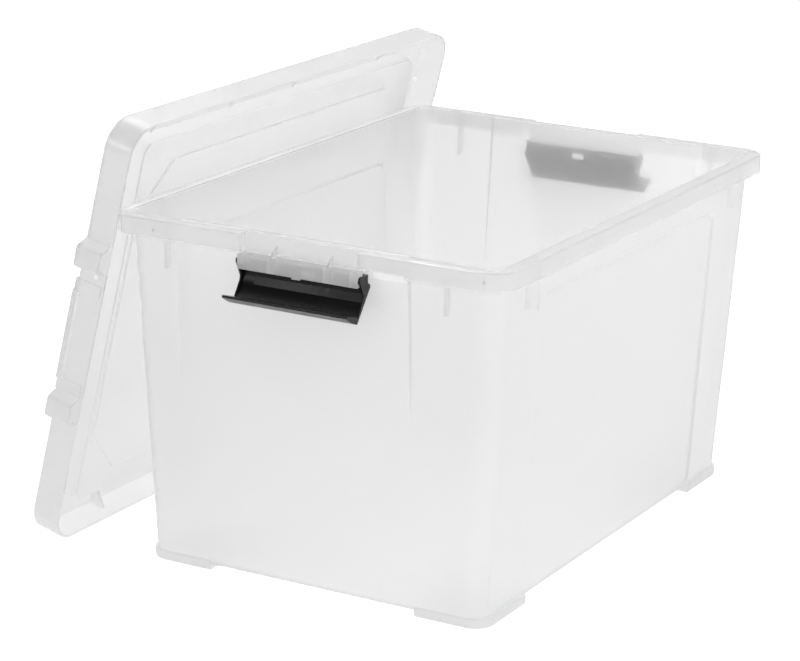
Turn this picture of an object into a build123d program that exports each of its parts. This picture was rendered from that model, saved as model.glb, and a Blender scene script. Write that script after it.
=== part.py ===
"""A clear moulded file box: a tub with two swinging latches, and its lid leaning on one long side.

X runs across the short ends, Y along the long sides and Z up. The tub stands on z = 0. The lid stands beside it
on its lower edge and leans on the rim. The origin is at the middle of the floor under the whole set.
"""

import math
import os

from build123d import *

# Tub: walls and floor
box_height = 280.0
wall_top_x = 159.5
wall_top_y = 230.5
wall_draft = 2.9
wall_thickness = 2.2
floor_thickness = 2.5
wall_corner_top = 17.0
wall_corner_base = 14.0
base_edge_radius = 3.0

# Tub: feet
foot_height = 4.4
foot_overlap = 3.5
foot_side_proud = 3.5
foot_end_proud = 0.6
foot_size_x = 59.0
foot_size_y = 67.6
foot_corner = 16.0
foot_inner_corner = 4.0
foot_edge = 1.5

# Tub: pressed-in panels of the long walls
panel_end_margin = 75.5
panel_top_drop = 37.0
panel_depth = 1.8
panel_corner = 9.0
panel_bevel = 45.0

# Tub: wedge-shaped recess behind each latch, deepest at the rim
recess_start = -113.0
recess_stop = 87.5
recess_depth = 4.5
recess_height = 132.0

# Tub: rim and its skirt
rim_overhang = 9.5
rim_corner = 23.0
rim_thickness = 2.2
rim_edge_radius = 1.5
skirt_depth = 15.0
skirt_thickness = 2.0
gusset_thickness = 2.0
gusset_foot = 23.0
end_gusset_reach = 6.5
end_gusset_margin = 40.0
side_gusset_margin = 47.5

# Tub: hinge zone at each short end
hinge_recess_half = 50.0
hinge_face_inset = 6.5
short_skirt_stop = 88.0
short_skirt_depth = 11.0
ledge_start = 61.0
ledge_inset = 3.5
ledge_drop = 18.0
strip_half = 51.2
strip_proud = 2.5
strip_depth = 8.1
strip_top_drop = 14.8
strip_height = 11.2
strip_wall = 1.6
strip_end_block = 6.5
strip_divider = 6.0
strip_divider_places = (-22.6, 25.2)
strip_rib_thickness = 1.6
strip_rib_height = 8.0
strip_tab_place = -0.8
strip_tab_width = 6.9
strip_tab_drop = 1.2

# Hinges: the axis inside the strip, and the moulded pins
hinge_set_back = 3.1
hinge_rise = 4.5
pin_radius = 2.0
pin_clearance = 0.06
pin_length = 5.6

# Latches: profile seen along the axis, outwards and down from it, hanging open
latch_side_gap = 0.4
latch_end_plate = 1.4
latch_back = 9.6
latch_face = 7.5
latch_top = 3.6
latch_back_bend = 11.3
latch_face_bend = 3.0
latch_heel_out = 5.1
latch_heel_drop = 30.8
latch_root_out = 4.2
latch_root_drop = 25.6
latch_knee_out = 12.5
latch_knee_drop = 28.0
latch_tip_out = 20.9
latch_tip_drop = 22.9
latch_lip_thickness = 2.1
latch_tip_radius = 0.9
latch_pad_start = -41.0
latch_pad_top = 10.4
latch_pad_bottom = 16.6
latch_pad_proud = 0.8
latch_window_place = 3.7
latch_window_width = 11.7
latch_window_top = 0.4
latch_window_bottom = 6.0

# Latches: end plates
ear_back = 13.0
ear_back_top = 4.7
ear_back_bottom = 6.9
ear_neck = 9.4
ear_neck_drop = 2.4
ear_front = 3.9
ear_head_radius = 2.4
ear_waist = 4.4
ear_waist_drop = 12.6
ear_waist_radius = 6.0

# Lid
lid_side_gap = 5.6
lid_end_gap = 3.2
lid_depth = 25.0
lid_wall = 2.2
lid_draft = 1.0
lid_corner = 24.0
lid_edge_radius = 3.0
plateau_side_gap = 2.5
plateau_end_gap = 14.8
plateau_corner = 12.0
plateau_level = 15.0
panel_step_u = 20.0
panel_step_y = 5.0
panel_chamfer = 39.0
panel_step_depth = 1.4
step_draft = 8.0
lid_gusset_places = (-186.0, -73.0, 23.0, 163.0)
lid_gusset_thickness = 2.0
lid_gusset_height = 16.0

# Lid: catch zone and lugs at each short end
catch_half = 47.0
catch_out = 2.0
catch_band_half = 37.5
catch_band_out = 0.4
catch_ridge_out = 3.9
catch_ridge_height = 4.5
lug_places = (68.4, -59.6)
lug_half = 8.5
lug_flare = 4.5
lug_out = 11.5
lug_top = 1.0
lug_bottom = 2.0
lug_wall = 2.0
lug_corner = 4.0

# Lid: how it leans
lid_lean = 13.2
lid_shift_y = 8.5
lean_clearance = 0.3

# Worked out from the driving sizes
draft_slope = math.tan(math.radians(wall_draft))
base_z = foot_height
floor_top = base_z + floor_thickness
recess_low = box_height - recess_height
rim_half_x = wall_top_x + rim_overhang
rim_half_y = wall_top_y + rim_overhang
hinge_face_y = rim_half_y - hinge_face_inset
ledge_y = rim_half_y - ledge_inset
strip_out = rim_half_y + strip_proud
strip_in = strip_out - strip_depth
strip_top = box_height - strip_top_drop
strip_low = strip_top - strip_height
hinge_y = strip_out - hinge_set_back
hinge_z = strip_low + hinge_rise
bore_radius = pin_radius + pin_clearance
ear_start = strip_half + latch_side_gap
ear_stop = ear_start + latch_end_plate
beyond = 1.0

lid_half_u = rim_half_x + lid_side_gap + lid_wall
lid_half_y = rim_half_y + lid_end_gap + lid_wall
plateau_half_u = wall_top_x - wall_thickness - plateau_side_gap
plateau_half_y = wall_top_y - wall_thickness - recess_depth - plateau_end_gap
panel_half_u = plateau_half_u - panel_step_u
panel_level = plateau_level + panel_step_depth
panel_half_y = plateau_half_y - panel_step_y

lean_sin = math.sin(math.radians(lid_lean))
lean_cos = math.cos(math.radians(lid_lean))
lid_edge_u = lid_half_u + lid_depth * math.tan(math.radians(lid_draft))
lid_z = lid_edge_u * lean_cos + lid_depth * lean_sin
rim_round_x = -rim_half_x + rim_edge_radius
rim_round_z = box_height - rim_edge_radius
contact_level = panel_level + lean_clearance + rim_edge_radius
lid_x = rim_round_x - (contact_level + (rim_round_z - lid_z) * lean_sin) / lean_cos

latch_reach = hinge_y + latch_tip_out
lid_left = lid_x - (lid_half_u - lid_edge_radius) * lean_sin - lid_edge_radius * (1 - lean_cos)
lid_reach = lid_half_y + lug_out
set_front = min(-latch_reach, lid_shift_y - lid_reach)
set_rear = max(latch_reach, lid_shift_y + lid_reach)
tub_x = -(lid_left + rim_half_x) / 2
tub_y = -(set_front + set_rear) / 2

tub_floor = Plane(origin=(tub_x, tub_y, 0))
lid_top = Plane(
    origin=(tub_x + lid_x, tub_y + lid_shift_y, lid_z),
    x_dir=(lean_sin, 0, lean_cos),
    z_dir=(lean_cos, 0, -lean_sin),
)


def wall_half(top_half, height):
    """Half width of the tapered walls' outside at a height."""
    return top_half - (box_height - height) * draft_slope


def wall_outline(height, inset, radius):
    """Outline of the tapered walls at a height, moved in by inset."""
    half_x = wall_half(wall_top_x, height) - inset
    half_y = wall_half(wall_top_y, height) - inset
    with BuildSketch(tub_floor.offset(height)) as outline:
        RectangleRounded(2 * half_x, 2 * half_y, radius - inset)
    return outline.sketch


def pressed_panel(side, inset):
    """Bevelled slab that presses the panel into one long wall, running past the base, moved in by inset."""
    tilt = math.radians(wall_draft)
    wall = Plane(
        origin=(tub_x + side * wall_top_x, tub_y, box_height),
        x_dir=(0, side, 0),
        z_dir=(side * math.cos(tilt), 0, -math.sin(tilt)),
    )
    half = wall_top_y - panel_end_margin
    tall = box_height + panel_corner
    with BuildPart() as slab:
        with BuildSketch(wall.offset(-inset - panel_depth)):
            with Locations((0, -panel_top_drop - tall / 2)):
                RectangleRounded(2 * half, tall, panel_corner)
        extrude(amount=panel_depth + beyond, taper=-panel_bevel)
    return slab.part


def latch_recess(side, inset):
    """Wedge that presses the latch's recess into one end wall, moved in by inset. Side -1 is the front."""
    low_y = wall_half(wall_top_y, recess_low) - inset
    top_y = wall_top_y - recess_depth - inset
    slope = math.hypot(recess_height, low_y - top_y)
    face = Plane(
        origin=(tub_x, tub_y + side * low_y, recess_low),
        x_dir=(-side, 0, 0),
        z_dir=(0, side * recess_height, low_y - top_y),
    )
    with BuildPart() as wedge:
        with BuildSketch(face):
            with BuildLine():
                Polyline(
                    (recess_start, 0),
                    (recess_stop, 0),
                    (recess_stop - recess_depth, slope + beyond),
                    (recess_start + recess_depth, slope + beyond),
                    close=True,
                )
            make_face()
        extrude(amount=recess_depth + beyond, taper=-panel_bevel)
    return wedge.part


def pressed_walls(inset):
    """The slabs that press the long walls' panels and the end walls' recesses, moved in by inset."""
    return [press(side, inset) for press in (pressed_panel, latch_recess) for side in (-1, 1)]


def recess_at(height):
    """Depth of the latch's recess in an end wall at a height."""
    return recess_depth * (height - recess_low) / recess_height


def hinge_plane(side, across):
    """Plane square to one hinge's axis, centred on it: x outwards, y up. The front end has side -1."""
    return Plane(
        origin=(tub_x - side * across, tub_y + side * hinge_y, hinge_z),
        x_dir=(0, side, 0),
        z_dir=(side, 0, 0),
    )


def end_bar(side, start, stop, near, far, low, high, mode=Mode.ADD):
    """Bar across one short end: start to stop along its hinge, near to far out, low to high."""
    middle_x = tub_x - side * (start + stop) / 2
    middle_y = tub_y + side * (near + far) / 2
    with Locations((middle_x, middle_y, (low + high) / 2)):
        Box(stop - start, far - near, high - low, mode=mode)


def gusset_face(plane, wall_top, outer):
    """Face of one gusset that hangs from the rim flange, from inside the wall to its outer edge."""
    low = box_height - skirt_depth - gusset_foot
    inner = wall_half(wall_top, low) - wall_thickness / 2
    middle = ((inner + outer) / 2, (low + box_height - rim_thickness / 2) / 2)
    with BuildSketch(plane) as face:
        with Locations(middle):
            Rectangle(outer - inner, box_height - rim_thickness / 2 - low)
    return face.sketch


# The tub's inside, with the backs of the pressed panels standing into it
with BuildPart() as cavity:
    add(wall_outline(floor_top, wall_thickness, wall_corner_base))
    add(wall_outline(box_height + beyond, wall_thickness, wall_corner_top))
    loft(ruled=True)
    fillet(cavity.edges().group_by(Axis.Z)[0], radius=base_edge_radius - wall_thickness / 2)
    for slab in pressed_walls(wall_thickness):
        add(slab, mode=Mode.SUBTRACT)

with BuildPart() as tub:
    add(wall_outline(base_z, 0, wall_corner_base))
    add(wall_outline(box_height, 0, wall_corner_top))
    loft(ruled=True)
    fillet(tub.edges().group_by(Axis.Z)[0], radius=base_edge_radius)
    for slab in pressed_walls(0):
        add(slab, mode=Mode.SUBTRACT)

    # Feet, with their outer faces proud of the long walls
    foot_outer_x = wall_half(wall_top_x, base_z) + foot_side_proud
    foot_outer_y = wall_half(wall_top_y, base_z) + foot_end_proud
    foot_inner_x = foot_outer_x - foot_size_x
    foot_inner_y = foot_outer_y - foot_size_y
    with BuildSketch(tub_floor):
        middle = ((foot_inner_x + foot_outer_x) / 2, (foot_inner_y + foot_outer_y) / 2)
        for corner_x in (-1, 1):
            for corner_y in (-1, 1):
                with Locations((corner_x * middle[0], corner_y * middle[1])):
                    Rectangle(foot_size_x, foot_size_y)
        corners = vertices().sort_by(lambda corner: abs(corner.X) + abs(corner.Y))
        fillet(corners[-4:], radius=foot_corner)
        fillet(corners[:-4], radius=foot_inner_corner)
    extrude(amount=base_z + foot_overlap)
    fillet(tub.edges().group_by(Axis.Z)[0], radius=foot_edge)

    # Rim flange and the skirt that hangs from its edge
    with BuildSketch(tub_floor.offset(box_height)):
        RectangleRounded(2 * rim_half_x, 2 * rim_half_y, rim_corner)
    extrude(amount=-rim_thickness)
    with BuildSketch(tub_floor.offset(box_height)):
        RectangleRounded(2 * rim_half_x, 2 * rim_half_y, rim_corner)
        offset(amount=-skirt_thickness, mode=Mode.SUBTRACT)
    extrude(amount=-skirt_depth)
    rim_edges = tub.edges().filter_by_position(Axis.Z, box_height, box_height)
    fillet(rim_edges, radius=rim_edge_radius)

    # Gussets under the rim
    end_gusset_x = wall_top_x - end_gusset_margin
    side_gusset_y = wall_top_y - side_gusset_margin
    end_gusset_outer = wall_half(wall_top_y, box_height - skirt_depth - gusset_foot) + end_gusset_reach
    side_gusset_outer = rim_half_x - skirt_thickness / 2
    for side in (-1, 1):
        for place in (-end_gusset_x, end_gusset_x):
            plane = Plane(origin=(tub_x + place, tub_y, 0), x_dir=(0, side, 0), z_dir=(side, 0, 0))
            extrude(gusset_face(plane, wall_top_y, end_gusset_outer), amount=gusset_thickness / 2, both=True)
        for place in (-side_gusset_y, side_gusset_y):
            plane = Plane(origin=(tub_x, tub_y + place, 0), x_dir=(side, 0, 0), z_dir=(0, -side, 0))
            extrude(gusset_face(plane, wall_top_x, side_gusset_outer), amount=gusset_thickness / 2, both=True)

    add(cavity.part, mode=Mode.SUBTRACT)

    # Pockets in the feet, open to the inside
    with BuildSketch(tub_floor.offset(floor_thickness)):
        pocket_outer_x = wall_half(wall_top_x, base_z) - wall_thickness
        pocket_outer_y = wall_half(wall_top_y, base_z) - wall_thickness
        pocket_x = (foot_inner_x + wall_thickness + pocket_outer_x) / 2
        pocket_y = (foot_inner_y + wall_thickness + pocket_outer_y) / 2
        for corner_x in (-1, 1):
            for corner_y in (-1, 1):
                with Locations((corner_x * pocket_x, corner_y * pocket_y)):
                    RectangleRounded(
                        pocket_outer_x - foot_inner_x - wall_thickness,
                        pocket_outer_y - foot_inner_y - wall_thickness,
                        foot_inner_corner,
                    )
    extrude(amount=base_z + beyond, mode=Mode.SUBTRACT)

    for side in (-1, 1):
        # The rim steps in over the latch, with side walls that close the step
        face_low = strip_top - strip_wall / 2
        short_low = box_height - short_skirt_depth
        skirt_low = box_height - skirt_depth
        outside = rim_half_y + beyond
        end_bar(side, -hinge_recess_half, hinge_recess_half, hinge_face_y, outside,
                skirt_low - beyond, box_height + beyond, mode=Mode.SUBTRACT)
        end_bar(side, -hinge_recess_half, hinge_recess_half, hinge_face_y - skirt_thickness, hinge_face_y,
                face_low, box_height)
        for edge, wall_low in ((-1, skirt_low), (1, short_low)):
            wall = sorted((edge * hinge_recess_half, edge * (hinge_recess_half + skirt_thickness)))
            end_bar(side, *wall, hinge_face_y - skirt_thickness, rim_half_y - skirt_thickness, wall_low,
                    box_height - rim_thickness)

        # On one side of the latch the skirt is shorter, over a ledge
        end_bar(side, hinge_recess_half, short_skirt_stop, ledge_y, outside, skirt_low - beyond, short_low,
                mode=Mode.SUBTRACT)
        end_bar(side, ledge_start, short_skirt_stop, ledge_y - skirt_thickness, ledge_y,
                box_height - ledge_drop, box_height - rim_thickness)

        # Hinge strip: front wall, top wall, end blocks, dividers, the ribs that brace it and its tab
        wall_in = wall_half(wall_top_y, strip_top) - recess_at(strip_top) - wall_thickness / 2
        end_bar(side, -strip_half, strip_half, strip_out - strip_wall, strip_out, strip_low, strip_top)
        end_bar(side, -strip_half, strip_half, wall_in, strip_out, strip_top - strip_wall, strip_top)
        tab_start = strip_tab_place - strip_tab_width / 2
        end_bar(side, tab_start, tab_start + strip_tab_width, strip_out - strip_wall, strip_out,
                strip_low - strip_tab_drop, strip_low)
        for start in (-strip_half, strip_half - strip_end_block):
            end_bar(side, start, start + strip_end_block, strip_in, strip_out, strip_low, strip_top)
        for place in strip_divider_places:
            half = strip_divider / 2
            end_bar(side, place - half, place + half, strip_in, strip_out, strip_low, strip_top)
            rib_root = (hinge_face_y - hinge_y, strip_top - hinge_z)
            with BuildSketch(hinge_plane(side, place)):
                with BuildLine():
                    Polyline(
                        rib_root,
                        (strip_out - hinge_y, strip_top - hinge_z),
                        (rib_root[0], rib_root[1] + strip_rib_height),
                        close=True,
                    )
                make_face()
            extrude(amount=strip_rib_thickness / 2, both=True)
        for across in (-strip_half, strip_half):
            with BuildSketch(hinge_plane(side, across)):
                Circle(bore_radius)
            extrude(amount=strip_end_block, both=True, mode=Mode.SUBTRACT)

tub.part.label = "tub"


def latch_profile(plane):
    """Plate and lip of a latch: the plate hangs behind the hinge strip and curves out into the lip."""
    with BuildSketch(plane) as profile:
        with BuildLine():
            Line((-latch_face, latch_top), (-latch_back, latch_top))
            Polyline(
                (-latch_back, latch_top),
                (-latch_back, -latch_back_bend),
                (latch_heel_out, -latch_heel_drop),
                (latch_knee_out, -latch_knee_drop),
                (latch_tip_out, -latch_tip_drop),
                (latch_tip_out, -latch_tip_drop + latch_lip_thickness),
                (latch_root_out, -latch_root_drop),
            )
            face = Line((-latch_face, latch_top), (-latch_face, -latch_face_bend))
            TangentArc(face @ 1, (latch_root_out, -latch_root_drop), tangent=face % 1)
        make_face()
        tips = profile.vertices().sort_by(Axis.X)[-2:]
        fillet(tips, radius=latch_tip_radius)
    return profile.sketch


def ear_outline(plane):
    """End plate of a latch: it backs the pin, narrows at its waist and runs down to the lip."""
    with BuildSketch(plane) as outline:
        with BuildLine():
            Polyline(
                (latch_heel_out, -latch_heel_drop),
                (latch_root_out, -latch_root_drop),
                (-ear_waist, -ear_waist_drop),
                (ear_front, latch_top),
                (-ear_neck, latch_top),
                (-ear_neck, -ear_neck_drop),
                (-ear_back, -ear_back_top),
                (-ear_back, -ear_back_bottom),
                close=True,
            )
        make_face()
        heads = outline.vertices().group_by(Axis.Y)[-1]
        fillet(heads, radius=ear_head_radius)
        waist = outline.vertices().sort_by_distance((-ear_waist, -ear_waist_drop))[0]
        fillet(waist, radius=ear_waist_radius)
    return outline.sketch


def pad_outline(plane):
    """Raised pad on the inner face of a latch's plate, its back buried in the plate."""
    bend = latch_root_out + latch_face
    drop = latch_root_drop - latch_face_bend
    radius = (bend**2 + drop**2) / (2 * bend)

    def face_at(below):
        return radius - latch_face - math.sqrt(radius**2 - (below - latch_face_bend) ** 2)

    with BuildSketch(plane) as outline:
        with BuildLine():
            Polyline(
                (-latch_back + latch_pad_proud, -latch_pad_top),
                (face_at(latch_pad_top) + latch_pad_proud, -latch_pad_top),
                (face_at(latch_pad_bottom) + latch_pad_proud, -latch_pad_bottom),
                (face_at(latch_pad_bottom) - latch_pad_proud, -latch_pad_bottom),
                close=True,
            )
        make_face()
    return outline.sketch


def make_latch(side):
    """One latch, hung open at an end."""
    with BuildPart() as latch:
        extrude(latch_profile(hinge_plane(side, 0)), amount=ear_stop, both=True)
        for edge in (-1, 1):
            plane = hinge_plane(side, edge * ear_start)
            extrude(ear_outline(plane), amount=-edge * latch_end_plate)
            with BuildSketch(plane):
                Circle(pin_radius)
            extrude(amount=edge * (pin_length + latch_side_gap))
        pad_length = ear_start - latch_pad_start
        extrude(pad_outline(hinge_plane(side, ear_start)), amount=pad_length)
        window_y = -(latch_window_top + latch_window_bottom) / 2
        with BuildSketch(hinge_plane(side, latch_window_place)):
            with Locations((-latch_back, window_y)):
                Rectangle(latch_back, latch_window_bottom - latch_window_top)
        extrude(amount=latch_window_width / 2, both=True, mode=Mode.SUBTRACT)
    return latch.part


front_latch = make_latch(-1)
front_latch.label = "front_latch"
rear_latch = make_latch(1)
rear_latch.label = "rear_latch"


def pressed_step(half_u, half_y, corner, chamfered, level):
    """Block of one pressed step of the lid, down to a level and flared by its draft towards the top."""
    with BuildPart() as block:
        with BuildSketch(lid_top.offset(level)) as outline:
            Rectangle(2 * half_u, 2 * half_y)
            if chamfered:
                chamfer(outline.vertices(), length=corner)
            else:
                fillet(outline.vertices(), radius=corner)
        extrude(amount=-level - beyond, taper=-step_draft)
    return block.part


def lug_outline(plane, place, end, inset):
    """Outline of one lug, moved in by inset: a trapezoid that narrows outwards, its far corners rounded."""
    root = lid_half_y - lid_wall / 2
    root_half = lug_half + lug_flare - inset
    outer_half = lug_half - inset
    outer = lid_half_y + lug_out - inset
    with BuildSketch(plane) as outline:
        with BuildLine():
            Polyline(
                (place - root_half, end * root),
                (place - outer_half, end * outer),
                (place + outer_half, end * outer),
                (place + root_half, end * root),
                close=True,
            )
        make_face()
        fillet(outline.vertices().sort_by(lambda corner: abs(corner.Y))[-2:], radius=lug_corner - inset)
    return outline.sketch


# The lid's hollow underside, with the backs of its pressed steps standing into it
with BuildPart() as lid_hollow:
    with BuildSketch(lid_top.offset(lid_wall)):
        RectangleRounded(2 * (lid_half_u - lid_wall), 2 * (lid_half_y - lid_wall), lid_corner - lid_wall)
    extrude(amount=lid_depth, taper=-lid_draft)
    plateau_back = pressed_step(plateau_half_u, plateau_half_y, plateau_corner, False, plateau_level)
    panel_back = pressed_step(panel_half_u, panel_half_y, panel_chamfer, True, panel_level)
    for step in (plateau_back, panel_back):
        add(step, mode=Mode.SUBTRACT)

with BuildPart() as lid:
    with BuildSketch(lid_top):
        RectangleRounded(2 * lid_half_u, 2 * lid_half_y, lid_corner)
    extrude(amount=lid_depth, taper=-lid_draft)
    top_face = lid.faces().sort_by(Axis(lid_top.origin, lid_top.z_dir))[0]
    fillet(top_face.edges(), radius=lid_edge_radius)

    # Catch zone and lugs on both short ends
    for end in (-1, 1):
        with BuildSketch(lid_top):
            with Locations((0, end * (lid_half_y + catch_out - catch_half / 2))):
                Rectangle(2 * catch_half, catch_half)
        extrude(amount=lid_depth - lug_bottom)
        with BuildSketch(lid_top):
            with Locations((0, end * (lid_half_y + catch_ridge_out - catch_half / 2))):
                Rectangle(2 * catch_band_half, catch_half)
        extrude(amount=catch_ridge_height)
        with BuildSketch(lid_top.offset(catch_ridge_height)):
            with Locations((0, end * (lid_half_y + catch_band_out + catch_half / 2))):
                Rectangle(2 * catch_band_half, catch_half)
        extrude(amount=lid_depth, mode=Mode.SUBTRACT)
        for place in lug_places:
            lug = lug_outline(lid_top.offset(lug_top), end * place, end, 0)
            extrude(lug, amount=lid_depth - lug_top - lug_bottom)
            pocket = lug_outline(lid_top.offset(lug_top + lug_wall), end * place, end, lug_wall)
            extrude(pocket, amount=lid_depth, mode=Mode.SUBTRACT)

    # Stepped panel: hollow from below, pressed in from above
    add(lid_hollow.part, mode=Mode.SUBTRACT)
    plateau_top = plateau_level - lid_wall
    panel_top = panel_level - lid_wall
    dished = (
        pressed_step(plateau_half_u - lid_wall, plateau_half_y - lid_wall, plateau_corner - lid_wall, False,
                     plateau_top),
        pressed_step(panel_half_u - lid_wall, panel_half_y - lid_wall, panel_chamfer, True, panel_top),
    )
    for step in dished:
        add(step, mode=Mode.SUBTRACT)

    # Gussets between the long skirts and the pressed step
    for place in lid_gusset_places:
        for edge in (-1, 1):
            origin = lid_top.from_local_coords(Vector(0, -edge * place, 0))
            plane = Plane(origin=origin, x_dir=lid_top.x_dir, z_dir=(0, 1, 0))
            with BuildSketch(plane):
                with BuildLine():
                    Polyline(
                        (edge * (lid_half_u - lid_wall / 2), lid_wall / 2),
                        (edge * (lid_half_u - lid_wall / 2), lid_gusset_height),
                        (edge * plateau_half_u, lid_wall),
                        (edge * plateau_half_u, lid_wall / 2),
                        close=True,
                    )
                make_face()
            extrude(amount=lid_gusset_thickness / 2, both=True)

lid.part.label = "lid"

os.makedirs("parts", exist_ok=True)
export_step(tub.part, "parts/tub.step")
export_step(front_latch, "parts/front_latch.step")
export_step(rear_latch, "parts/rear_latch.step")
export_step(lid.part, "parts/lid.step")
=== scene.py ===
"""Looks of the clear file box: its plastics, light and camera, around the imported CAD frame."""

import math

import bpy
from mathutils import Matrix, Vector


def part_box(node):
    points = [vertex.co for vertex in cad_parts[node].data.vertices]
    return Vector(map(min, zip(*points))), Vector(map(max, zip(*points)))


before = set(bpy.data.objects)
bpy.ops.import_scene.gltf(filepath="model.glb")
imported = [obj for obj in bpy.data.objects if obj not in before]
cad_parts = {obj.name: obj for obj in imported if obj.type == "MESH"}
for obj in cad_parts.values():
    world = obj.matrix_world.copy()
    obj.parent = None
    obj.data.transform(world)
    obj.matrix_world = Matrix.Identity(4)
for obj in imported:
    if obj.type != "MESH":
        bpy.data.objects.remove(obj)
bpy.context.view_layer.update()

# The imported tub's middle on the floor, which the camera and the masks are measured from, in metres
tub_low, tub_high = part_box("tub")
TUB_MIDDLE = Vector(((tub_low.x + tub_high.x) / 2, (tub_low.y + tub_high.y) / 2, 0.0))
RIM_TOP = tub_high.z

# Camera, measured from the tub's middle. Its lens is given in pixels of the photograph
CAMERA_PLACE = Vector((1.0770, -2.0174, 0.8225))
CAMERA_RIGHT = Vector((0.87047, 0.49183, 0.01950))
CAMERA_UP = Vector((-0.15432, 0.23508, 0.95965))
SENSOR_WIDTH = 36.0
FOCAL_PIXELS = 2949.0
IMAGE_WIDTH = 800.0
NEAREST_SEEN = 0.05
FARTHEST_SEEN = 50.0

# Hinge strips: how far out from the tub's middle, how high, and half a strip across, out and up
STRIP_OUT = 0.2395
STRIP_HEIGHT = 0.2593
STRIP_HALF = (0.0515, 0.0052, 0.0064)
STRIP_BLOCKS = ((-0.0479, 0.0034), (-0.0226, 0.0030), (0.0252, 0.0030), (0.0479, 0.0034))

# Ledges and gussets at the short ends: place across, out and up, and half their size
LEDGE_PLACE = (0.0745, 0.2360, 0.2645)
LEDGE_HALF = (0.0137, 0.0022, 0.0027)
GUSSET_ACROSS = 0.1195
GUSSET_OUT = 0.2328
GUSSET_HEIGHT = 0.2535
GUSSET_HALF = (0.0013, 0.0032, 0.0117)

# Rim with its skirt, and feet: middle height, half height, and half the room between the walls.
# The rim's zone is moved along X, off the lid's side
RIM_MIDDLE = RIM_TOP - 0.0065
RIM_HALF_HEIGHT = 0.0070
RIM_ROOM = (0.1580, 0.2290)
RIM_SHIFT = 0.04
FOOT_TOP = 0.0080
FOOT_ROOM = (0.1425, 0.2130)
TUB_REACH = (0.2, 0.3)
ROOM_HALF_HEIGHT = 0.0100

# Upright bevels of the long walls' pressed panels: place along and up, and half their size
BEVEL_ACROSS = 0.16
BEVEL_ALONG = 0.1559
BEVEL_HEIGHT = 0.1265
BEVEL_HALF = (0.04, 0.0013, 0.1185)

# Far end wall: where its zone of hazier milk with painted shade fades, from the tub's middle, along
# X and along Y
FAR_WALL_FADE_X = (-0.12, 0.08)
FAR_WALL_FADE_Y = (0.18, 0.222)

# Small moulding dots on the near skirt and on the lid's ends, and the soft share of their edge
SKIRT_DOTS = ((-0.0871, -0.2425, 0.2718), (0.1927, -0.2416, 0.2731))
SKIRT_DOT_RADIUS = 0.0012
LID_DOTS = ((-0.1377, 0.2492, 0.2991), (-0.1415, -0.2397, 0.2265))
LID_DOT_RADIUS = 0.0022
DOT_CORE = 0.8

# Leaning lid: the middle of its top face, its lean, half its panel up the lean and along Y,
# the depths of the panel's bevels, and the heights between which the milkier lower end fades
LID_MIDDLE = (-0.16947, 0.00595, 0.17826)
LID_LEAN = math.radians(13.2)
LID_PANEL_HALF = (0.1375, 0.2066)
LID_BEVEL_DEPTHS = (0.0157, 0.0135)
LID_BEVEL_HALF = 0.0006
LID_LOW_FADE = (0.06, 0.21)

# World: the strength of its light on the object, and as seen straight and through the plastic
WORLD_LIGHT = 0.7
WORLD_SEEN = 1.0
WORLD_INSIDE = 0.9

# Floor: its glow seen straight, its glow seen through the plastic or in the shine, its tone,
# and half its side
FLOOR_GLOW = 0.45
FLOOR_GLOW_INSIDE = 0.33
FLOOR_TONE = 0.8
FLOOR_HALF = 30.0

# World in the shine: full where a direction leans away from the photograph's side, and dim where
# it leans towards it. It is fixed in the world
CAMERA_SIDE = (-0.05, 0.40)
DIM_SHINE = 0.04

# Narrow strip light over the box, seen only in the shine. A direction's X, Y and Z shares say
# where it lies: its middle and soft edge along X, and where it fades in along Y and Z
STRIP_LIGHT_PLACE = -0.4635
STRIP_LIGHT_EDGE = (0.012, 0.024)
STRIP_LIGHT_BEHIND = (0.05, 0.20)
STRIP_LIGHT_ABOVE = (0.35, 0.50)
STRIP_LIGHT_STRENGTH = 8.0

# Lamps: name, place, target, size, power, and whether the shine mirrors it
LAMPS = (
    ("top_lamp", (-0.80, 1.0, 2.0), (0, 0, 0.15), 0.9, 11.0, False),
    ("front_card", (-1.1, -2.1, 1.05), (0, -0.24, 0.25), 0.5, 2.3, True),
    ("fill_lamp", (2.2, -0.6, 1.6), (0, 0, 0.15), 1.6, 8.0, True),
)

# Clear plastic: how it bends light, the share of its milk that scatters light back, the glossy
# skin on it, and the share of the lamps' light that passes it
CLEAR_IOR = 1.36
MILK_BACK = 0.5
SKIN_WEIGHT = 0.8
SKIN_ROUGHNESS = 0.06
SKIN_IOR = 1.5
LAMP_PASS = 0.95

# Tub and lid: haze, tint, inner blur, tone of the milk, and radius of the softened edges
TUB_HAZE = 0.35
TUB_TINT = 0.98
TUB_BLUR = 0.28
TUB_MILK = 0.88
TUB_EDGE = 0.0007
LID_HAZE = 0.38
LID_TINT = 0.96
LID_BLUR = 0.26
LID_MILK = 0.81
LID_EDGE = 0.0010

# How much the haze varies in long flow marks and in clouds
FLOW_SHARE = 0.06
CLOUD_SHARE = 0.02

# Strength and depth of the clear plastic's slow ripple and of its grain
CLEAR_RIPPLE = (0.05, 0.002)
CLEAR_GRAIN = (0.06, 0.0001)

# Black plastic: its tone and that of its worn places, how it bends light, its roughness from one
# swirl to the next, how much smoother rubbing makes it, and radius of the softened edges
BLACK_TONE = (0.0050, 0.0050, 0.0053, 1.0)
WORN_TONE = (0.014, 0.014, 0.015, 1.0)
BLACK_IOR = 1.42
BLACK_ROUGHNESS = (0.24, 0.34)
RUBBED_GLOSS = 0.08
BLACK_EDGE = 0.0004

# How far rubbed places and scratches take on the worn tone
RUBBED_WEAR = 0.35
SCRATCH_WEAR = 0.8

# Strength and depth of the black plastic's grain and scratches, and how the scratches are turned
BLACK_GRAIN = (0.12, 0.0001)
BLACK_SCRATCH = (0.2, 0.0001)
SCRATCH_TURNS = ((0.5, 0.2, 0.0), (0.9, 0.0, 0.3))

SMOOTH_ANGLE = math.radians(28.0)


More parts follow.
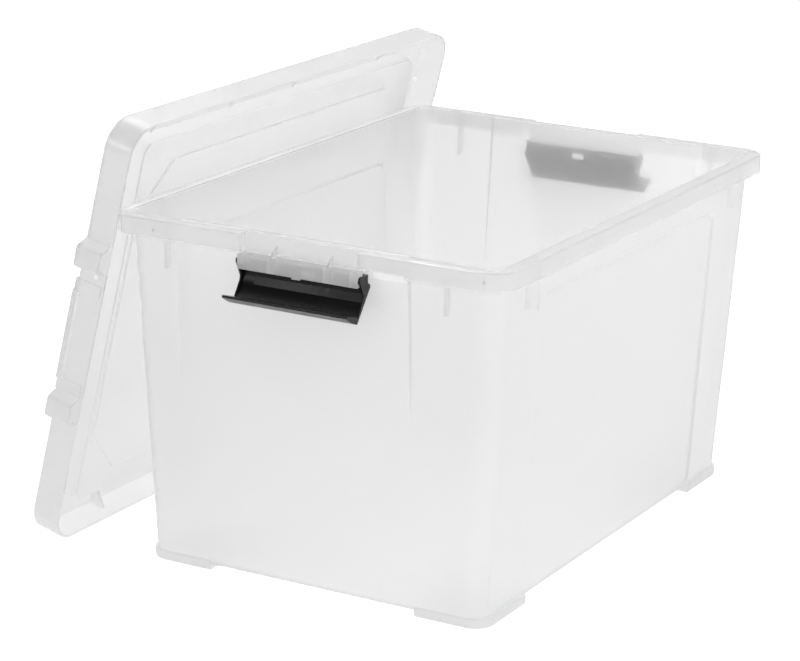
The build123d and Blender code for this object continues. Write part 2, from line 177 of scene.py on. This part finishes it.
def aim_camera():
    """Camera at the photograph's viewing angle."""
    data = bpy.data.cameras.new("camera")
    data.sensor_width = SENSOR_WIDTH
    data.sensor_fit = "HORIZONTAL"
    data.lens = FOCAL_PIXELS * SENSOR_WIDTH / IMAGE_WIDTH
    data.clip_start = NEAREST_SEEN
    data.clip_end = FARTHEST_SEEN
    camera = bpy.data.objects.new("camera", data)
    bpy.context.scene.collection.objects.link(camera)
    right = CAMERA_RIGHT.normalized()
    back = right.cross(CAMERA_UP).normalized()
    up = back.cross(right)
    turn = Matrix((right, up, back)).transposed().to_4x4()
    camera.matrix_world = Matrix.Translation(TUB_MIDDLE + CAMERA_PLACE) @ turn
    bpy.context.scene.camera = camera


def new_material(name):
    """Empty node material and its output node."""
    material = bpy.data.materials.new(name)
    material.use_nodes = True
    material.node_tree.nodes.clear()
    return material, material.node_tree.nodes.new("ShaderNodeOutputMaterial")


def add_node(material, kind, **settings):
    """New node with the given settings."""
    node = material.node_tree.nodes.new(kind)
    for key, value in settings.items():
        setattr(node, key, value)
    return node


def connect(material, source, target):
    """Links an output socket to an input socket, or sets the input to a plain value."""
    if isinstance(source, (int, float)):
        target.default_value = source
    else:
        material.node_tree.links.new(source, target)


def calculate(material, operation, first, second=0.0, third=0.0):
    """Result of one arithmetic node on sockets or plain values."""
    node = add_node(material, "ShaderNodeMath", operation=operation)
    for place, value in enumerate((first, second, third)):
        connect(material, value, node.inputs[place])
    return node.outputs[0]


def rescale(material, value, low, high, to_low, to_high):
    """Value moved smoothly from one range to another and held at its ends."""
    node = add_node(material, "ShaderNodeMapRange", interpolation_type="SMOOTHSTEP")
    for place, amount in enumerate((value, low, high, to_low, to_high)):
        connect(material, amount, node.inputs[place])
    return node.outputs[0]


def mix_shaders(material, share, first, second):
    """Shader that is the first one, and the second one by the given share."""
    mix = add_node(material, "ShaderNodeMixShader")
    connect(material, share, mix.inputs["Fac"])
    connect(material, first, mix.inputs[1])
    connect(material, second, mix.inputs[2])
    return mix.outputs[0]


def noise(material, scale, detail=2.0, stretch=(1.0, 1.0, 1.0), turn=(0.0, 0.0, 0.0)):
    """Noise over the object's own coordinates, in metres, turned and stretched along each axis."""
    coords = add_node(material, "ShaderNodeTexCoord")
    mapping = add_node(material, "ShaderNodeMapping", vector_type="POINT")
    mapping.inputs["Rotation"].default_value = turn
    mapping.inputs["Scale"].default_value = stretch
    texture = add_node(material, "ShaderNodeTexNoise")
    texture.inputs["Scale"].default_value = scale
    texture.inputs["Detail"].default_value = detail
    connect(material, coords.outputs["Object"], mapping.inputs["Vector"])
    connect(material, mapping.outputs[0], texture.inputs["Vector"])
    return texture.outputs[0]


def scratches(material, turns):
    """Thin, broken, nearly straight lines along each turn, 1 on a scratch and 0 off it."""
    total = 0.0
    for turn in turns:
        line = noise(material, scale=240.0, detail=0.0, stretch=(0.012, 0.012, 1.0), turn=turn)
        off_middle = calculate(material, "ABSOLUTE", calculate(material, "SUBTRACT", line, 0.5))
        thin = rescale(material, off_middle, 0.0, 0.035, 1.0, 0.0)
        patches = rescale(material, noise(material, scale=16.0, turn=turn), 0.56, 0.70, 0.0, 1.0)
        total = calculate(material, "MULTIPLY_ADD", thin, patches, total)
    return total


def relief(material, layers, edge_radius):
    """Surface normal with softened edges, under bump layers of (height, strength, depth)."""
    edge = add_node(material, "ShaderNodeBevel", samples=4)
    edge.inputs["Radius"].default_value = edge_radius
    normal = edge.outputs[0]
    for height, strength, depth in layers:
        bump = add_node(material, "ShaderNodeBump")
        bump.inputs["Strength"].default_value = strength
        bump.inputs["Distance"].default_value = depth
        connect(material, height, bump.inputs["Height"])
        connect(material, normal, bump.inputs["Normal"])
        normal = bump.outputs[0]
    return normal


def own_place(material):
    """X, Y and Z of the shaded point in the object's own coordinates."""
    coords = add_node(material, "ShaderNodeTexCoord")
    split = add_node(material, "ShaderNodeSeparateXYZ")
    connect(material, coords.outputs["Object"], split.inputs[0])
    return split.outputs


def box_mask(material, middle, half):
    """1 inside a box given in the object's own coordinates, and 0 outside it."""
    place = own_place(material)
    inside = 1.0
    for axis in range(3):
        near = calculate(material, "COMPARE", place[axis], middle[axis], half[axis])
        inside = calculate(material, "MULTIPLY", near, inside)
    return inside


def wall_mask(material, shift, height, half_height, room):
    """1 in a level zone around the walls, shifted along X, and 0 in the room inside them."""
    reach = (*TUB_REACH, half_height)
    whole = box_mask(material, (TUB_MIDDLE.x + shift, TUB_MIDDLE.y, height), reach)
    inside = box_mask(material, (TUB_MIDDLE.x, TUB_MIDDLE.y, height), (*room, ROOM_HALF_HEIGHT))
    return calculate(material, "MULTIPLY", whole, calculate(material, "SUBTRACT", 1.0, inside))


def spot_mask(material, places, radius):
    """1 on small round spots at places in the object's own coordinates, and 0 elsewhere."""
    coords = add_node(material, "ShaderNodeTexCoord")
    total = 0.0
    for place in places:
        gap = add_node(material, "ShaderNodeVectorMath", operation="DISTANCE")
        connect(material, coords.outputs["Object"], gap.inputs[0])
        gap.inputs[1].default_value = place
        spot = rescale(material, gap.outputs["Value"], radius * DOT_CORE, radius, 1.0, 0.0)
        total = calculate(material, "ADD", spot, total)
    return total


def both_ends(material, across, out, height, half):
    """1 in a box at each hinge, placed across, out from the tub's middle and up, and 0 off it."""
    total = 0.0
    for end in (-1, 1):
        middle = (TUB_MIDDLE.x - end * across, TUB_MIDDLE.y + end * out, height)
        total = calculate(material, "ADD", box_mask(material, middle, half), total)
    return total


def strip_mask(material):
    """1 in both hinge strips, which are milkier than the walls."""
    return both_ends(material, 0.0, STRIP_OUT, STRIP_HEIGHT, STRIP_HALF)


def strip_block_mask(material):
    """1 in the thick end blocks and dividers of both hinge strips."""
    total = 0.0
    for across, half in STRIP_BLOCKS:
        block = both_ends(material, across, STRIP_OUT, STRIP_HEIGHT, (half, *STRIP_HALF[1:]))
        total = calculate(material, "ADD", block, total)
    return total


def ledge_highlight_mask(material):
    """1 on the two small ledges beside the latches, where brighter milk paints the highlight they
    catch.
    """
    return both_ends(material, *LEDGE_PLACE, LEDGE_HALF)


def gusset_mask(material):
    """1 on the gussets that hang from the rim over both end walls."""
    total = 0.0
    for across in (-GUSSET_ACROSS, GUSSET_ACROSS):
        gusset = both_ends(material, across, GUSSET_OUT, GUSSET_HEIGHT, GUSSET_HALF)
        total = calculate(material, "ADD", gusset, total)
    return total


def rim_mask(material):
    """1 on the rim and its skirt, off the lid's side, which are milkier than the walls."""
    return wall_mask(material, RIM_SHIFT, RIM_MIDDLE, RIM_HALF_HEIGHT, RIM_ROOM)


def foot_mask(material):
    """1 on the feet and the walls' lowest edge, where the thick plastic is milkier."""
    return wall_mask(material, 0.0, 0.0, FOOT_TOP, FOOT_ROOM)


def panel_bevel_mask(material, side):
    """1 on both upright bevels of the panel pressed into one long wall."""
    total = 0.0
    for end in (-1, 1):
        along = TUB_MIDDLE.y + end * BEVEL_ALONG
        middle = (TUB_MIDDLE.x + side * BEVEL_ACROSS, along, BEVEL_HEIGHT)
        total = calculate(material, "ADD", box_mask(material, middle, BEVEL_HALF), total)
    return total


def near_panel_mask(material):
    """1 on the upright bevels of the long wall on the camera's side."""
    return panel_bevel_mask(material, 1)


def far_bevel_shade_mask(material):
    """1 on the upright bevels of the long wall on the lid's side, whose darker milk paints a shade
    line.
    """
    return panel_bevel_mask(material, -1)


def far_wall_shade_mask(material):
    """1 at the lid's side of the far end wall, fading out across it, where hazier, darker milk
    paints shade.
    """
    place = own_place(material)
    low_x, high_x = (TUB_MIDDLE.x + edge for edge in FAR_WALL_FADE_X)
    low_y, high_y = (TUB_MIDDLE.y + edge for edge in FAR_WALL_FADE_Y)
    across = rescale(material, place[0], low_x, high_x, 1.0, 0.0)
    along = rescale(material, place[1], low_y, high_y, 0.0, 1.0)
    return calculate(material, "MULTIPLY", across, along)


def lid_bevel_light_mask(material):
    """1 on the shallow bevels around the lid's panel, found by their depth in the leaning lid, whose
    paler milk is painted light over the dark line their shading gives.
    """
    coords = add_node(material, "ShaderNodeTexCoord")
    offset = add_node(material, "ShaderNodeVectorMath", operation="SUBTRACT")
    connect(material, coords.outputs["Object"], offset.inputs[0])
    offset.inputs[1].default_value = LID_MIDDLE
    depth_axis = (math.cos(LID_LEAN), 0.0, -math.sin(LID_LEAN))
    height_axis = (math.sin(LID_LEAN), 0.0, math.cos(LID_LEAN))
    along_axis = (0.0, 1.0, 0.0)
    places = []
    for axis in (depth_axis, height_axis, along_axis):
        share = add_node(material, "ShaderNodeVectorMath", operation="DOT_PRODUCT")
        connect(material, offset.outputs[0], share.inputs[0])
        share.inputs[1].default_value = axis
        places.append(share.outputs["Value"])
    depth, height, along = places
    inner, outer = (
        calculate(material, "COMPARE", depth, level, LID_BEVEL_HALF) for level in LID_BEVEL_DEPTHS
    )
    in_height = calculate(material, "COMPARE", height, 0.0, LID_PANEL_HALF[0])
    in_length = calculate(material, "COMPARE", along, 0.0, LID_PANEL_HALF[1])
    in_panel = calculate(material, "MULTIPLY", in_height, in_length)
    return calculate(material, "MULTIPLY", calculate(material, "MAXIMUM", inner, outer), in_panel)


def lid_low_mask(material):
    """1 at the lid's lower end, fading out upwards, where the lid looks milkier."""
    return rescale(material, own_place(material)[2], *LID_LOW_FADE, 1.0, 0.0)


def skirt_dot_mask(material):
    """1 on the moulding dots on the near skirt."""
    return spot_mask(material, SKIRT_DOTS, SKIRT_DOT_RADIUS)


def lid_dot_mask(material):
    """1 on the moulding dots on the lid's ends."""
    return spot_mask(material, LID_DOTS, LID_DOT_RADIUS)


def clear_plastic(name, haze, tint, blur, milk_tone, edge_radius, masks):
    """Milky clear polypropylene: glossy outside, blurred within, and scattering light both ways.

    masks holds (mask maker, extra haze, milk tone, blur) for the places that differ from the walls.
    """
    material, out = new_material(name)
    flow = noise(material, scale=7.0, detail=3.0, stretch=(1.0, 1.0, 0.35))
    cloud = noise(material, scale=31.0)
    grain = noise(material, scale=1400.0)
    ripple = noise(material, scale=18.0, detail=1.0, stretch=(1.0, 1.0, 0.5))
    normal = relief(material, ((ripple, *CLEAR_RIPPLE), (grain, *CLEAR_GRAIN)), edge_radius)

    clouded = calculate(material, "MULTIPLY_ADD", flow, FLOW_SHARE, haze - FLOW_SHARE / 2)
    clouded = calculate(material, "MULTIPLY_ADD", cloud, CLOUD_SHARE, clouded)
    blurred = blur
    tone = milk_tone
    for make_mask, extra, mask_tone, mask_blur in masks:
        mask = make_mask(material)
        clouded = calculate(material, "MULTIPLY_ADD", mask, extra, clouded)
        tone = calculate(material, "MULTIPLY_ADD", mask, mask_tone - milk_tone, tone)
        blurred = calculate(material, "MULTIPLY_ADD", mask, mask_blur - blur, blurred)
    milk_colour = add_node(material, "ShaderNodeCombineColor")
    for channel in milk_colour.inputs[:3]:
        connect(material, tone, channel)

    glass = add_node(material, "ShaderNodeBsdfPrincipled")
    glass.inputs["Base Color"].default_value = (tint, tint, tint, 1.0)
    glass.inputs["IOR"].default_value = CLEAR_IOR
    glass.inputs["Transmission Weight"].default_value = 1.0
    glass.inputs["Coat Weight"].default_value = SKIN_WEIGHT
    glass.inputs["Coat Roughness"].default_value = SKIN_ROUGHNESS
    glass.inputs["Coat IOR"].default_value = SKIN_IOR
    connect(material, blurred, glass.inputs["Roughness"])
    connect(material, normal, glass.inputs["Normal"])
    connect(material, normal, glass.inputs["Coat Normal"])
    forward = add_node(material, "ShaderNodeBsdfTranslucent")
    back = add_node(material, "ShaderNodeBsdfDiffuse")
    for shader in (forward, back):
        connect(material, milk_colour.outputs[0], shader.inputs["Color"])
        connect(material, normal, shader.inputs["Normal"])
    milk = mix_shaders(material, MILK_BACK, forward.outputs[0], back.outputs[0])
    body = mix_shaders(material, clouded, glass.outputs[0], milk)
    path = add_node(material, "ShaderNodeLightPath")
    lamp = add_node(material, "ShaderNodeBsdfTransparent")
    lamp.inputs["Color"].default_value = (LAMP_PASS, LAMP_PASS, LAMP_PASS, 1.0)
    shown = mix_shaders(material, path.outputs["Is Shadow Ray"], body, lamp.outputs[0])
    connect(material, shown, out.inputs["Surface"])
    return material


def black_plastic(name):
    """Satin black polypropylene with a fine moulded grain, faint swirls and rubbed places."""
    material, out = new_material(name)
    grain = noise(material, scale=2600.0, detail=3.0)
    swirl = noise(material, scale=60.0, detail=3.0, stretch=(0.4, 1.0, 1.0))
    marks = scratches(material, SCRATCH_TURNS)
    rubbed = rescale(material, noise(material, scale=45.0, detail=4.0), 0.52, 0.72, 0.0, 1.0)
    shader = add_node(material, "ShaderNodeBsdfPrincipled")
    tone = add_node(material, "ShaderNodeMix", data_type="RGBA")
    tone.inputs["A"].default_value = BLACK_TONE
    tone.inputs["B"].default_value = WORN_TONE
    worn = calculate(material, "MULTIPLY", rubbed, RUBBED_WEAR)
    worn = calculate(material, "MULTIPLY_ADD", marks, SCRATCH_WEAR, worn)
    connect(material, worn, tone.inputs["Factor"])
    connect(material, tone.outputs["Result"], shader.inputs["Base Color"])
    roughness = rescale(material, swirl, 0.3, 0.7, *BLACK_ROUGHNESS)
    roughness = calculate(material, "MULTIPLY_ADD", rubbed, -RUBBED_GLOSS, roughness)
    connect(material, roughness, shader.inputs["Roughness"])
    shader.inputs["IOR"].default_value = BLACK_IOR
    normal = relief(material, ((grain, *BLACK_GRAIN), (marks, *BLACK_SCRATCH)), BLACK_EDGE)
    connect(material, normal, shader.inputs["Normal"])
    connect(material, shader.outputs[0], out.inputs["Surface"])
    return material


def dress(node, material):
    """Gives a CAD node one material, smooth across its gentle edges."""
    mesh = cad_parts[node].data
    mesh.materials.clear()
    mesh.materials.append(material)
    mesh.polygons.foreach_set("use_smooth", [True] * len(mesh.polygons))
    mesh.set_sharp_from_angle(angle=SMOOTH_ANGLE)


def white_floor():
    """Pale floor that keeps the object's shadow."""
    mesh = bpy.data.meshes.new("floor")
    corners = [(FLOOR_HALF * x, FLOOR_HALF * y, 0) for x, y in ((-1, -1), (1, -1), (1, 1), (-1, 1))]
    mesh.from_pydata(corners, [], [(0, 1, 2, 3)])
    floor = bpy.data.objects.new("floor", mesh)
    bpy.context.scene.collection.objects.link(floor)
    material, out = new_material("floor")
    matt = add_node(material, "ShaderNodeBsdfDiffuse")
    matt.inputs["Color"].default_value = (FLOOR_TONE, FLOOR_TONE, FLOOR_TONE, 1.0)
    glow = add_node(material, "ShaderNodeEmission")
    both = add_node(material, "ShaderNodeAddShader")
    connect(material, matt.outputs[0], both.inputs[0])
    connect(material, glow.outputs[0], both.inputs[1])
    path = add_node(material, "ShaderNodeLightPath")
    shine, inside = path.outputs["Is Glossy Ray"], path.outputs["Is Transmission Ray"]
    inner = calculate(material, "MAXIMUM", shine, inside)
    inner = calculate(material, "MULTIPLY", inner, FLOOR_GLOW_INSIDE)
    strength = calculate(material, "MULTIPLY_ADD", path.outputs["Is Camera Ray"], FLOOR_GLOW, inner)
    connect(material, strength, glow.inputs["Strength"])
    connect(material, both.outputs[0], out.inputs["Surface"])
    mesh.materials.append(material)


def shine_strength(world):
    """Strength of the world in the shine: dim on the photograph's side, a strip light overhead."""
    coords = add_node(world, "ShaderNodeTexCoord")
    facing = add_node(world, "ShaderNodeVectorMath", operation="DOT_PRODUCT")
    connect(world, coords.outputs["Generated"], facing.inputs[0])
    facing.inputs[1].default_value = CAMERA_PLACE.normalized()
    dim = rescale(world, facing.outputs["Value"], *CAMERA_SIDE, 1.0, DIM_SHINE)
    split = add_node(world, "ShaderNodeSeparateXYZ")
    connect(world, coords.outputs["Generated"], split.inputs[0])
    off_middle = calculate(world, "SUBTRACT", split.outputs[0], STRIP_LIGHT_PLACE)
    off_middle = calculate(world, "ABSOLUTE", off_middle)
    strip = rescale(world, off_middle, *STRIP_LIGHT_EDGE, STRIP_LIGHT_STRENGTH, 0.0)
    behind = rescale(world, split.outputs[1], *STRIP_LIGHT_BEHIND, 0.0, 1.0)
    above = rescale(world, split.outputs[2], *STRIP_LIGHT_ABOVE, 0.0, 1.0)
    strip = calculate(world, "MULTIPLY", calculate(world, "MULTIPLY", strip, behind), above)
    return calculate(world, "ADD", dim, strip)


def white_world():
    """World that is white where seen, soft light elsewhere, and has its own look in the shine."""
    world = bpy.data.worlds.new("world")
    world.use_nodes = True
    world.node_tree.nodes.clear()
    out = add_node(world, "ShaderNodeOutputWorld")
    strengths = (
        (None, WORLD_LIGHT),
        ("Is Glossy Ray", shine_strength(world)),
        ("Is Transmission Ray", WORLD_INSIDE),
        ("Is Camera Ray", WORLD_SEEN),
    )
    path = add_node(world, "ShaderNodeLightPath")
    shown = None
    for ray, strength in strengths:
        background = add_node(world, "ShaderNodeBackground")
        background.inputs["Color"].default_value = (1, 1, 1, 1)
        connect(world, strength, background.inputs["Strength"])
        if ray is None:
            shown = background.outputs[0]
        else:
            shown = mix_shaders(world, path.outputs[ray], shown, background.outputs[0])
    connect(world, shown, out.inputs["Surface"])
    bpy.context.scene.world = world


def area_lamp(name, place, target, size, power, in_shine):
    """Soft square lamp at a place, aimed at a target, and mirrored in the shine or not."""
    data = bpy.data.lights.new(name, "AREA")
    data.shape = "SQUARE"
    data.size = size
    data.energy = power
    lamp = bpy.data.objects.new(name, data)
    bpy.context.scene.collection.objects.link(lamp)
    lamp.location = place
    lamp.visible_glossy = in_shine
    lamp.rotation_euler = (Vector(target) - Vector(place)).to_track_quat("-Z", "Y").to_euler()


aim_camera()
white_world()
white_floor()
for lamp_settings in LAMPS:
    area_lamp(*lamp_settings)

# Each row: the mask's maker, its extra haze, its milk's tone and its blur
tub_masks = (
    (strip_mask, 0.26, 0.74, 0.12),
    (strip_block_mask, 0.10, 0.95, TUB_BLUR),
    # Ledges: painted highlight, brighter and hazier milk
    (ledge_highlight_mask, 0.30, 1.00, TUB_BLUR),
    (gusset_mask, 0.06, 0.82, TUB_BLUR),
    (rim_mask, 0.07, 0.82, 0.20),
    (foot_mask, 0.55, 0.89, TUB_BLUR),
    (near_panel_mask, 0.60, 0.90, TUB_BLUR),
    # Far panel bevels: painted shade line, darker milk
    (far_bevel_shade_mask, 0.10, 0.72, TUB_BLUR),
    # Far end wall: painted shade, darker milk on the lid's side
    (far_wall_shade_mask, 0.08, 0.83, TUB_BLUR),
    (skirt_dot_mask, 0.35, 0.45, TUB_BLUR),
)
lid_masks = (
    (lid_low_mask, 0.30, 0.86, LID_BLUR),
    # Lid panel bevels: painted light, paler milk over their dark shade line
    (lid_bevel_light_mask, 0.20, 0.88, LID_BLUR),
    (lid_dot_mask, 0.12, 0.84, LID_BLUR),
)
tub_clear = clear_plastic("tub_clear", TUB_HAZE, TUB_TINT, TUB_BLUR, TUB_MILK, TUB_EDGE, tub_masks)
lid_clear = clear_plastic("lid_clear", LID_HAZE, LID_TINT, LID_BLUR, LID_MILK, LID_EDGE, lid_masks)
latch_black = black_plastic("latch_black")
dress("tub", tub_clear)
dress("lid", lid_clear)
dress("front_latch", latch_black)
dress("rear_latch", latch_black)

bpy.context.scene.view_settings.view_transform = "Standard"
